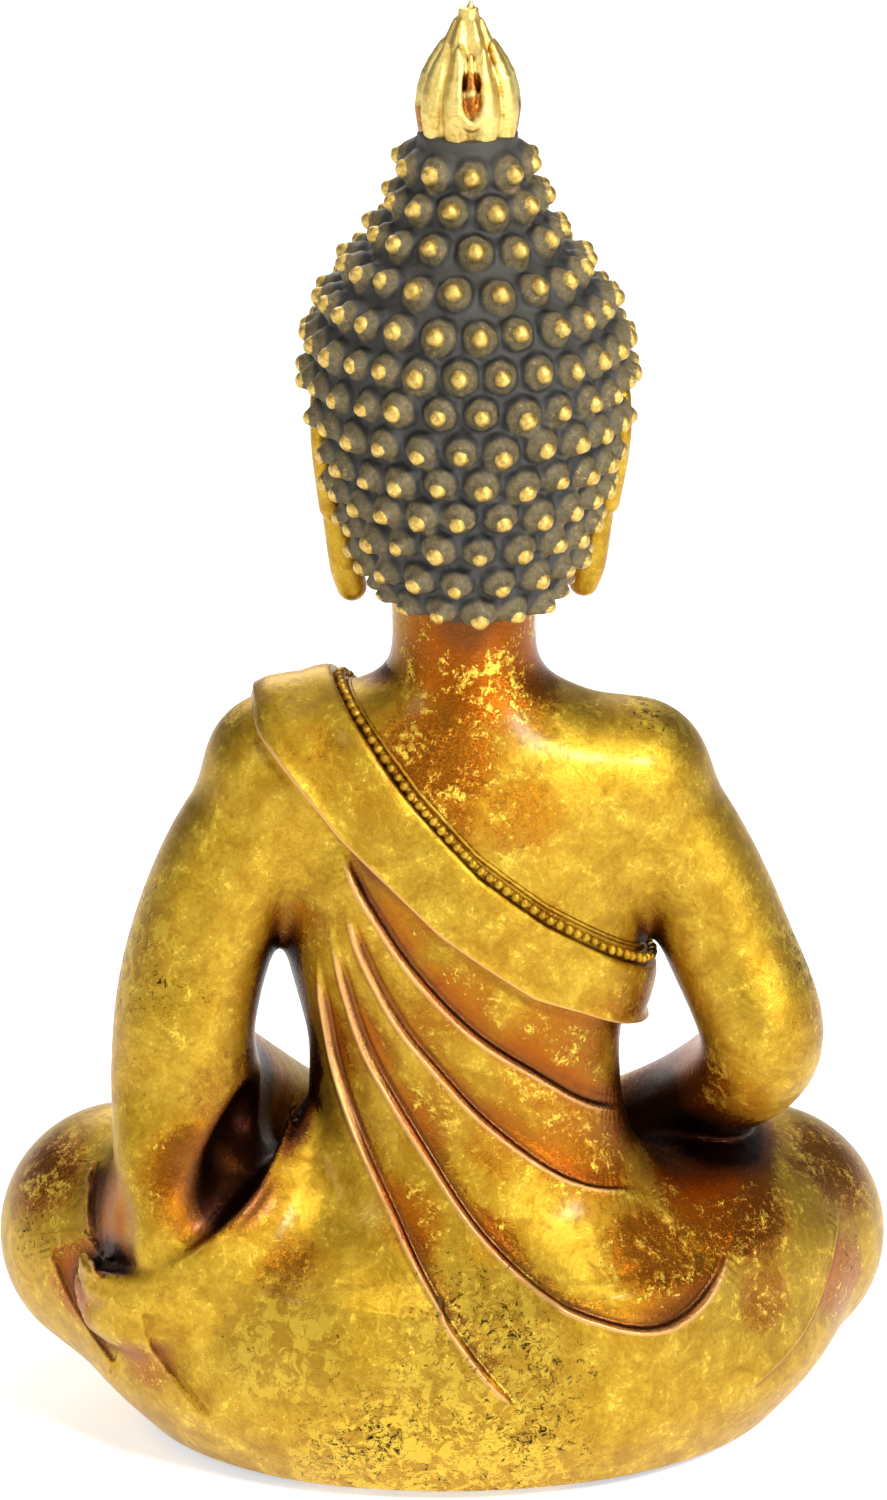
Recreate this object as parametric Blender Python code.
"""Seated meditating Buddha figure, 197 mm high, cast in pieces that are pinned and glued together.

The figure faces -Y and sits on z = 0, so its own left is +X. Units are metres; the tables of the
body are in millimetres and are scaled by MM. Each casting is a group of overlapping rounded solids
that a voxel Remesh fuses, and neighbouring castings are cut to leave a glue gap.
"""

import math

import bmesh
import bpy
from mathutils import Matrix, Vector
from mathutils.bvhtree import BVHTree

MM = 0.001
GAP = 0.3 * MM  # glue gap between two castings

# Driving dimensions, in millimetres
HEIGHT = 197.0
FELT_THICKNESS = 1.2
FOOT_Z = FELT_THICKNESS + 0.3  # underside of the castings
NECK_JOINT_Z = 107.0  # where the head casting's neck sits on the torso
SHOULDER_JOINT_X = 24.0  # plane where each arm is glued to the torso
SEAT_JOINT_Z = 24.0  # floor of the pocket that the torso stands in
FINIAL_JOINT_Z = 179.5  # where the flame stands on the hair
PIN_RADIUS = 1.6
PIN_CLEARANCE = 0.3
SHOULDER_PIN = (6.5, 93.0)  # y, z of both shoulder pins
SHOULDER_PIN_LENGTH = 18.0
FINIAL_PIN_SPAN = (170.0, 188.0)
NECK_PIN_SPAN = (94.0, 118.0)
HEAD_Y = 4.0
HEAD_X = -0.3  # the head sits a little to its right of the trunk, and the legs to its left
LEGS_X = 2.0
SASH_THICKNESS = 1.5
BEAD_RADIUS = 0.65
BEAD_COUNT = 60

# Trunk sections: height, half width, half depth, y of the centre
TRUNK = [
    (14, 37, 23, 11),
    (24, 32, 21, 11),
    (36, 25, 17, 10),
    (47, 21, 14.5, 8),
    (57, 20.8, 14, 7),
    (70, 24, 14.5, 7),
    (82, 26.5, 15, 7),
    (92, 27, 14, 7),
    (100, 24, 11.5, 7),
    (104, 19, 9.8, 6.8),
    (107.5, 11.5, 9.6, 6.2),
    (111, 9.7, 9.5, 5.5),
]
# Limbs: x, y, z and radius of each joint, for the figure's left side
SHOULDER = [(18, 6.5, 94.5, 9.5), (24.5, 6.5, 94.3, 9.5)]
LEFT_ARM = [
    (24.5, 6.5, 94.3, 9.8),
    (31, 7, 83, 9.8),
    (36.5, 8, 69.5, 9.6),
    (38.6, 9.5, 57.5, 9.3),
    (33, -4, 46, 7.6),
    (20, -19, 33, 5.8),
    (14, -25, 31, 5),
]
RIGHT_ARM = [
    (-22.8, 6.5, 94.3, 9.5),
    (-29, 7, 83, 9),
    (-35.5, 8, 69.5, 8.7),
    (-39.7, 9.5, 55.5, 8.4),
    (-33, -4, 45.5, 7.2),
    (-20, -19, 32, 5.6),
    (-14, -25, 31, 5),
]
THIGH = [(17, 17, 19, 18), (33, 4, 20.5, 18.5), (43, -8, 22.5, 17.6)]
SHIN = [(43, -8, 22, 17), (30, -20, 16, 14), (8, -29, 12, 11)]
CROSSED_SHIN = [(-43, -10, 21, 16), (-24, -24, 18, 11.5), (2, -29, 17, 9), (22, -20, 21, 6.3)]
FOOT = [(22, -20, 21, 6), (31, -12, 28, 5), (35, -7, 32, 4)]
FINGER_LENGTHS = (15.5, 16.5, 16, 13)
# Sleeve hanging from the left forearm, as the limbs
DRAPE_SPINE = [(38, 11, 46, 9.3), (33, -4, 40, 7)]
DRAPE_CORNER = [(40, 14, 36, 8), (46, 12, 29, 7), (51, 8, 24, 5)]
# Oval seat sections, as TRUNK
SEAT = [(0, 40.5, 29.5, 2.5), (5, 46.5, 32, 2.5), (12, 51, 34, 2.5), (20, 44, 30, 4)]
# Ovals under the seat: half width, half depth, y of the centre
BASE_PLATE = (30, 20, 2)
FELT = (36, 24, 2)
# Hair sections without the curls, as TRUNK
HAIR = [
    (114, 8, 8, 9),
    (117, 9.5, 10.5, 9),
    (123, 13.6, 16, 7.5),
    (130, 16.2, 19.5, 5.5),
    (137, 18, 21.5, 5),
    (144, 19, 22.5, 4.5),
    (151, 19.4, 22.5, 4),
    (156, 18, 20.5, 4),
    (160.5, 16.2, 18, 4),
    (163.5, 13.5, 15, 4),
    (166.5, 10.8, 12, 4),
    (171, 9, 10, 4),
    (175, 7, 7.6, 4),
    (FINIAL_JOINT_Z - 0.15, 6.2, 6, 4),
]
FOREHEAD_Z = 155.0
CURL_BOTTOM_Z, CURL_TOP_Z, CURL_PITCH = 116.5, 175.0, 4.6
CURL_RADIUS, CURL_HEIGHT = 2.1, 2.6
# The flame: height and radius of each level
FLAME = [
    (FINIAL_JOINT_Z + 0.15, 6.1),
    (181.5, 6.6),
    (185, 6.5),
    (188.5, 5.6),
    (191.5, 4.4),
    (194.5, 2.6),
    (HEIGHT, 0.7),
]
# Distances along the (-1, 0, 1) direction of the sash's two edges and of its row of beads
SASH_SPAN = (52.8, 63.6)
BEAD_LINE = 62.5


def clear_scene():
    for obj in list(bpy.data.objects):
        bpy.data.objects.remove(obj)


def vec(x, y, z):
    return Vector((x, y, z)) * MM


def material(name, colour, roughness, metallic):
    made = bpy.data.materials.new(name)
    made.use_nodes = True
    shader = made.node_tree.nodes["Principled BSDF"]
    shader.inputs["Base Color"].default_value = (*colour, 1.0)
    shader.inputs["Roughness"].default_value = roughness
    shader.inputs["Metallic"].default_value = metallic
    return made


def add_object(name, mesh, look=None):
    obj = bpy.data.objects.new(name, mesh)
    bpy.context.scene.collection.objects.link(obj)
    if look is not None:
        mesh.materials.clear()
        mesh.materials.append(look)
    return obj


def object_from(bm, name, look=None):
    mesh = bpy.data.meshes.new(name)
    bmesh.ops.recalc_face_normals(bm, faces=bm.faces)
    bm.to_mesh(mesh)
    bm.free()
    return add_object(name, mesh, look)


def helper(obj):
    """Marks an object as a cutter or guide, which isn't part of the model."""
    obj.hide_render = True
    obj.display_type = "WIRE"
    return obj


# ---------------------------------------------------------------- rounded solids, in millimetres


def ellipsoid(bm, centre, radii, turn=None, segments=20):
    place = Matrix.Translation(vec(*centre))
    if turn is not None:
        place = place @ turn.to_4x4()
    stretch = Matrix.Diagonal((*(radius * MM for radius in radii), 1.0))
    bmesh.ops.create_uvsphere(
        bm, u_segments=segments, v_segments=segments // 2, radius=1.0, matrix=place @ stretch
    )


def slide(bm, x):
    bmesh.ops.translate(bm, vec=vec(x, 0, 0), verts=bm.verts)


def limb(bm, joints):
    """Balls at the joints, and a tapered bone between each pair of them."""
    for x, y, z, radius in joints:
        ellipsoid(bm, (x, y, z), (radius, radius, radius))
    for first, second in zip(joints, joints[1:], strict=False):
        start, end = vec(*first[:3]), vec(*second[:3])
        along = end - start
        turn = along.to_track_quat("Z", "Y").to_matrix().to_4x4()
        bmesh.ops.create_cone(
            bm,
            cap_ends=True,
            segments=20,
            radius1=first[3] * MM,
            radius2=second[3] * MM,
            depth=along.length,
            matrix=Matrix.Translation((start + end) / 2) @ turn,
        )


def mirrored(joints):
    return [(-x, y, z, radius) for x, y, z, radius in joints]


def loft(bm, sections, sides=28):
    """A closed tube through level oval sections, given from the bottom up."""
    rings = []
    for z, half_width, half_depth, centre_y in sections:
        angles = [2 * math.pi * i / sides for i in range(sides)]
        rings.append(
            [
                bm.verts.new(vec(half_width * math.cos(a), centre_y + half_depth * math.sin(a), z))
                for a in angles
            ]
        )
    for lower, upper in zip(rings, rings[1:], strict=False):
        for i in range(sides):
            j = (i + 1) % sides
            bm.faces.new((lower[i], lower[j], upper[j], upper[i]))
    bm.faces.new(rings[0][::-1])
    bm.faces.new(rings[-1])


def box(name, low, high):
    bm = bmesh.new()
    bmesh.ops.create_cube(bm, size=1.0)
    low, high = vec(*low), vec(*high)
    bmesh.ops.scale(bm, vec=high - low, verts=bm.verts)
    bmesh.ops.translate(bm, vec=(low + high) / 2, verts=bm.verts)
    return object_from(bm, name)


def cylinder(name, start, end, radius, look=None, segments=20):
    bm = bmesh.new()
    start, end = vec(*start), vec(*end)
    along = end - start
    turn = along.to_track_quat("Z", "Y").to_matrix().to_4x4()
    bmesh.ops.create_cone(
        bm,
        cap_ends=True,
        segments=segments,
        radius1=radius * MM,
        radius2=radius * MM,
        depth=along.length,
        matrix=Matrix.Translation((start + end) / 2) @ turn,
    )
    return object_from(bm, name, look)


# ---------------------------------------------------------------- modifiers


def apply_modifiers(obj):
    graph = bpy.context.evaluated_depsgraph_get()
    mesh = bpy.data.meshes.new_from_object(obj.evaluated_get(graph))
    obj.modifiers.clear()
    obj.data = mesh
    return obj


def fuse(obj, voxel, smoothing, triangles):
    """One skin around the overlapping solids of obj, rounded and thinned to about that many triangles."""
    remesh = obj.modifiers.new("Remesh", "REMESH")
    remesh.mode = "VOXEL"
    remesh.voxel_size = voxel * MM
    smooth = obj.modifiers.new("Smooth", "SMOOTH")
    smooth.factor = 0.5
    smooth.iterations = smoothing
    apply_modifiers(obj)
    thin = obj.modifiers.new("Decimate", "DECIMATE")
    thin.ratio = min(1.0, triangles / (2 * len(obj.data.polygons)))
    return apply_modifiers(obj)


def swollen(obj, by):
    """A cutter: a copy of obj whose surface stands proud of it by that much."""
    copy = helper(add_object(obj.name + "_swollen", obj.data.copy()))
    grow = copy.modifiers.new("Grow", "DISPLACE")
    grow.strength = by
    grow.mid_level = 0.0
    return apply_modifiers(copy)


def boolean(obj, other, operation):
    helper(other)
    cut = obj.modifiers.new("Cut", "BOOLEAN")
    cut.operation = operation
    cut.solver = "EXACT"
    cut.object = other
    return apply_modifiers(obj)


def keep(obj, other):
    return boolean(obj, other, "INTERSECT")


def remove(obj, *others):
    for other in others:
        boolean(obj, other, "DIFFERENCE")
    return obj


def keep_largest(obj):
    """Drops the loose slivers that a cut leaves, and keeps the biggest body."""
    bm = bmesh.new()
    bm.from_mesh(obj.data)
    bodies, unseen = [], set(bm.verts)
    while unseen:
        edge = [unseen.pop()]
        body = set(edge)
        while edge:
            near = {link.other_vert(v) for v in edge for link in v.link_edges} & unseen
            unseen -= near
            body |= near
            edge = list(near)
        bodies.append(body)
    largest = max(bodies, key=len)
    bmesh.ops.delete(bm, geom=[v for v in bm.verts if v not in largest], context="VERTS")
    bm.to_mesh(obj.data)
    bm.free()
    return obj


def drill(obj, name, start, end):
    return remove(obj, cylinder(name, start, end, PIN_RADIUS + PIN_CLEARANCE))


# ---------------------------------------------------------------- castings


def make_torso(look):
    bm = bmesh.new()
    loft(bm, TRUNK)
    for side in (SHOULDER, mirrored(SHOULDER)):
        limb(bm, side)
    torso = fuse(object_from(bm, "torso", look), 1.5, 6, 1500)
    reach = SHOULDER_JOINT_X - 0.15
    keep(torso, box("torso_block", (-reach, -40, SEAT_JOINT_Z), (reach, 50, NECK_JOINT_Z - 0.15)))
    return torso


def make_arm(side, name, look):
    """side is 1 for the figure's left arm and -1 for its right one."""
    bm = bmesh.new()
    limb(bm, LEFT_ARM if side > 0 else RIGHT_ARM)
    arm = fuse(object_from(bm, name, look), 1.2, 4, 800)
    near, far = side * (SHOULDER_JOINT_X + 0.15), side * 70
    low = (min(near, far), -60, 62)
    high = (max(near, far), 60, 110)
    upper = box(name + "_upper_block", low, high)
    lower = box(name + "_lower_block", (-80, -60, 20), (80, 60, 62))
    return keep(arm, boolean(upper, lower, "UNION"))


def make_lap(look, neighbours):
    """Crossed legs under the robe on a flat oval seat, hollow underneath."""
    bm = bmesh.new()
    for part in (THIGH, mirrored(THIGH), SHIN, CROSSED_SHIN):
        limb(bm, part)
    limb(bm, FOOT)
    slide(bm, LEGS_X)
    loft(bm, SEAT, sides=36)
    loft(bm, TRUNK[:2])
    lap = fuse(object_from(bm, "lap", look), 1.8, 6, 2000)
    keep(lap, box("lap_block", (-80, -60, FOOT_Z), (80, 60, 60)))
    for other in neighbours:
        remove(lap, swollen(other, GAP))
    hollow = bmesh.new()
    ellipsoid(hollow, (0, 2, 0), (27, 17.5, 17), segments=24)
    remove(lap, object_from(hollow, "lap_hollow"))
    recess = bmesh.new()
    loft(recess, [(0, *BASE_PLATE), (FOOT_Z + 2.0, *BASE_PLATE)], sides=36)
    return remove(lap, object_from(recess, "plate_recess"))


def make_sleeve_drape(look, neighbours):
    """The cloth that hangs from the left forearm and lies over the thigh, with its corner drawn out."""
    bm = bmesh.new()
    limb(bm, DRAPE_SPINE)
    limb(bm, DRAPE_CORNER)
    ellipsoid(bm, (35, 9, 35), (12, 16.5, 14))
    drape = fuse(object_from(bm, "sleeve_drape", look), 1.2, 4, 900)
    for other in neighbours:
        remove(drape, swollen(other, GAP))
    return keep_largest(drape)


def oval_plate(name, low, high, half_width, half_depth, centre_y, look):
    bm = bmesh.new()
    oval = (half_width, half_depth, centre_y)
    loft(bm, [(low, *oval), (high, *oval)], sides=36)
    return object_from(bm, name, look)


def make_hand(side, name, height, look):
    """A palm-up hand whose fingers lie across the lap; side is 1 for the left hand."""
    bm = bmesh.new()
    ellipsoid(bm, (side * 6, -28.5, height), (9, 7, 2.6))
    limb(bm, [(side * 14, -27, height + 1, 4), (side * 9, -28, height, 4)])
    for i, length in enumerate(FINGER_LENGTHS):
        y = -24.2 - 3.5 * i
        tip = side * (2 - length)
        limb(bm, [(side * 3, y, height, 1.9), (tip, y, height - 0.3, 1.6)])
    thumb_root = (side * 10, -23.5, height + 1.5, 2.4)
    thumb_bend = (side * 5, -21.5, height + 4.5, 2.0)
    thumb_tip = (side * 1.9, -22.5, height + 7, 1.5)
    limb(bm, [thumb_root, thumb_bend, thumb_tip])
    return fuse(object_from(bm, name, look), 0.9, 3, 700)


def make_head(look):
    bm = bmesh.new()
    limb(bm, [(0, 5.8, 104, 11.5), (0, 5.3, 110, 9.6), (0, HEAD_Y, 126, 9.4)])
    ellipsoid(bm, (0, HEAD_Y, 150), (16.8, 19.5, 18.5))
    ellipsoid(bm, (0, -3, 136), (15.3, 15.6, 20))
    ellipsoid(bm, (0, -9.5, 121.5), (8, 7, 6))
    ellipsoid(bm, (0, -17.2, 129.5), (4.2, 2, 1.8))
    for side in (-1, 1):
        ellipsoid(bm, (side * 6.4, -15.5, 141.5), (4, 2.4, 2))
    limb(bm, [(0, -17.5, 145, 1.8), (0, -20.5, 135.5, 2.4)])
    for side in (-1, 1):
        ellipsoid(bm, (side * 18.2, 2.5, 137), (2.7, 5, 9.5))
        limb(bm, [(side * 17.4, 1.5, 131, 2.7), (side * 14.8, 0, 120, 3)])
    slide(bm, HEAD_X)
    head = fuse(object_from(bm, "head", look), 1.2, 3, 1500)
    return keep(head, box("head_block", (-40, -40, NECK_JOINT_Z + 0.15), (40, 40, 190)))


def hair_section(z):
    """Half width, half depth and centre y of the hair, read between the rows of HAIR."""
    for low, high in zip(HAIR, HAIR[1:], strict=False):
        if low[0] <= z <= high[0]:
            t = (z - low[0]) / (high[0] - low[0])
            return [a + t * (b - a) for a, b in zip(low[1:], high[1:], strict=True)]
    raise ValueError(z)


def above_hairline(x, y, z):
    """True where curls grow: behind the ears' line, or above the forehead's arc."""
    forehead = FOREHEAD_Z - 0.022 * x * x
    return y > 6 or z > forehead + 1.5


def make_curls():
    """Rows of pointed knobs around the hair, each row turned by half a pitch."""
    bm = bmesh.new()
    rows = int((CURL_TOP_Z - CURL_BOTTOM_Z) / CURL_PITCH) + 1
    for row in range(rows):
        z = CURL_BOTTOM_Z + row * CURL_PITCH
        half_width, half_depth, centre_y = hair_section(z)
        above = hair_section(min(z + 1.5, CURL_TOP_Z + 2))[0]
        slope = (half_width - above) / 1.5
        count = round(math.pi * (half_width + half_depth) / CURL_PITCH)
        for i in range(count):
            a = 2 * math.pi * (i + 0.5 * (row % 2)) / count
            x, y = half_width * math.cos(a), centre_y + half_depth * math.sin(a)
            if not above_hairline(x, y, z):
                continue
            out = Vector((math.cos(a) / half_width, math.sin(a) / half_depth, 0)).normalized()
            out = (out + Vector((0, 0, max(-0.6, min(1.2, slope))))).normalized()
            turn = out.to_track_quat("Z", "Y").to_matrix().to_4x4()
            middle = vec(HEAD_X + x, y, z) + out * (0.5 * CURL_HEIGHT - 0.4) * MM
            bmesh.ops.create_cone(
                bm,
                cap_ends=True,
                segments=4,
                radius1=CURL_RADIUS * MM,
                radius2=0.4 * CURL_RADIUS * MM,
                depth=(CURL_HEIGHT + 0.8) * MM,
                matrix=Matrix.Translation(middle) @ turn,
            )
    return object_from(bm, "curls")


def make_hair_cap(look, head):
    bm = bmesh.new()
    loft(bm, HAIR, sides=24)
    slide(bm, HEAD_X)
    cap = object_from(bm, "hair_cap", look)
    opening = bmesh.new()
    ellipsoid(opening, (HEAD_X, -26, 134), (18.5, 30, 19.5), segments=32)
    below_ears = box("below_ears", (-30, -40, 100), (30, 2, 122))
    remove(cap, object_from(opening, "face_opening"), below_ears)
    boolean(cap, make_curls(), "UNION")
    return remove(cap, swollen(head, 1.5 * GAP))


def make_finial(look):
    """The flame: an upright bud with eight shallow lobes, a little flatter from front to back."""
    bm = bmesh.new()
    rings = []
    sides = 32
    for z, radius in FLAME:
        ring = []
        for i in range(sides):
            a = 2 * math.pi * i / sides
            lobed = radius * (1 + 0.07 * math.cos(8 * a))
            x, y = HEAD_X + lobed * math.cos(a), HEAD_Y + 0.85 * lobed * math.sin(a)
            ring.append(bm.verts.new(vec(x, y, z)))
        rings.append(ring)
    for lower, upper in zip(rings, rings[1:], strict=False):
        for i in range(sides):
            j = (i + 1) % sides
            bm.faces.new((lower[i], lower[j], upper[j], upper[i]))
    bm.faces.new(rings[0][::-1])
    bm.faces.new(rings[-1])
    return object_from(bm, "flame_finial", look)


def make_sash(look, torso, head):
    """A band 10 mm wide around the trunk, from the left shoulder to under the right arm."""
    sash = add_object("shoulder_sash", torso.data.copy())
    grow = sash.modifiers.new("Grow", "DISPLACE")
    grow.strength = GAP + SASH_THICKNESS * MM
    grow.mid_level = 0.0
    apply_modifiers(sash)
    remove(sash, swollen(torso, GAP))
    low, high = SASH_SPAN
    slab = box("sash_slab", (-90, -60, low), (90, 60, high))
    slab.data.transform(Matrix.Rotation(-math.pi / 4, 4, "Y"))
    keep(sash, slab)
    reach = SHOULDER_JOINT_X - 0.15
    keep(sash, box("sash_block", (-reach, -60, 20), (reach, 60, 120)))
    remove(sash, swollen(head, GAP))
    sash.data.materials.clear()
    sash.data.materials.append(look)
    return sash


def make_bead_trim(look, torso):
    """One cast string of beads, which follows the sash's upper edge right around the trunk."""
    rest = swollen(torso, (SASH_THICKNESS + BEAD_RADIUS) * MM + 2 * GAP)
    bm = bmesh.new()
    bm.from_mesh(rest.data)
    surface = BVHTree.FromBMesh(bm)
    bm.free()
    across = Vector((1, 0, 1)).normalized()
    centre = vec(-4, 7, BEAD_LINE * math.sqrt(2) - 4)
    curve = bpy.data.curves.new("bead_trim", "CURVE")
    curve.dimensions = "3D"
    curve.bevel_depth = BEAD_RADIUS * MM
    curve.bevel_resolution = 0
    spline = curve.splines.new("POLY")
    spline.use_cyclic_u = True
    points = 2 * BEAD_COUNT
    spline.points.add(points - 1)
    for i in range(points):
        a = 2 * math.pi * i / points
        ray = across * math.cos(a) + Vector((0, 1, 0)) * math.sin(a)
        far = centre + ray * 0.1
        hit = surface.ray_cast(far, -ray)[0]
        spline.points[i].co = (*hit, 1.0)
        spline.points[i].radius = 1.0 if i % 2 else 0.6
    curve.materials.append(look)
    obj = bpy.data.objects.new("bead_trim", curve)
    bpy.context.scene.collection.objects.link(obj)
    return obj


def make_pins(look):
    y, z = SHOULDER_PIN
    half = SHOULDER_PIN_LENGTH / 2
    for name, side in (("left_shoulder_pin", 1), ("right_shoulder_pin", -1)):
        start = (side * (SHOULDER_JOINT_X - half + 0.4), y, z)
        end = (side * (SHOULDER_JOINT_X + half - 0.4), y, z)
        cylinder(name, start, end, PIN_RADIUS, look)
    low, high = FINIAL_PIN_SPAN
    cylinder("finial_pin", (HEAD_X, HEAD_Y, low + 0.4), (HEAD_X, HEAD_Y, high - 0.4), PIN_RADIUS, look)
    low, high = NECK_PIN_SPAN
    cylinder("neck_pin", (0, 5, low + 0.4), (0, 5, high - 0.4), PIN_RADIUS, look)


def main():
    clear_scene()
    gilding = material("gilded_resin", (0.72, 0.47, 0.10), 0.34, 0.85)
    dark = material("dark_hair_lacquer", (0.10, 0.085, 0.065), 0.5, 0.3)
    resin = material("raw_resin", (0.62, 0.58, 0.50), 0.7, 0.0)
    felt = material("black_felt", (0.02, 0.02, 0.022), 0.95, 0.0)
    steel = material("steel_pin", (0.55, 0.55, 0.56), 0.35, 1.0)

    torso = make_torso(gilding)
    left_arm = make_arm(1, "left_arm", gilding)
    right_arm = make_arm(-1, "right_arm", gilding)
    head = make_head(gilding)
    sash = make_sash(gilding, torso, head)
    make_bead_trim(gilding, torso)
    left_hand = make_hand(1, "left_hand", 31.0, gilding)
    right_hand = make_hand(-1, "right_hand", 35.8, gilding)
    keep_largest(remove(left_hand, swollen(right_hand, GAP)))
    for hand in (left_hand, right_hand):
        remove(hand, swollen(left_arm, GAP), swollen(right_arm, GAP))
    lap = make_lap(gilding, (torso, left_arm, right_arm))
    make_sleeve_drape(gilding, (torso, left_arm, lap))
    hair = make_hair_cap(dark, head)
    finial = make_finial(gilding)

    y, z = SHOULDER_PIN
    reach = SHOULDER_PIN_LENGTH / 2
    for arm, side in ((left_arm, 1), (right_arm, -1)):
        inner, outer = side * (SHOULDER_JOINT_X - reach), side * (SHOULDER_JOINT_X + reach)
        for piece in (torso, arm):
            drill(piece, "shoulder_pin_hole", (inner, y, z), (outer, y, z))
    for piece in (torso, head):
        drill(piece, "neck_pin_hole", (0, 5, NECK_PIN_SPAN[0]), (0, 5, NECK_PIN_SPAN[1]))
    for piece in (hair, finial, head):
        low, high = FINIAL_PIN_SPAN
        drill(piece, "finial_pin_hole", (HEAD_X, HEAD_Y, low), (HEAD_X, HEAD_Y, high))
    make_pins(steel)
    half_width, half_depth, centre_y = BASE_PLATE
    oval_plate(
        "base_plate", FOOT_Z, FOOT_Z + 1.7, half_width - 0.3, half_depth - 0.3, centre_y, resin
    )
    oval_plate("felt_pad", 0, FELT_THICKNESS, *FELT, felt)


main()
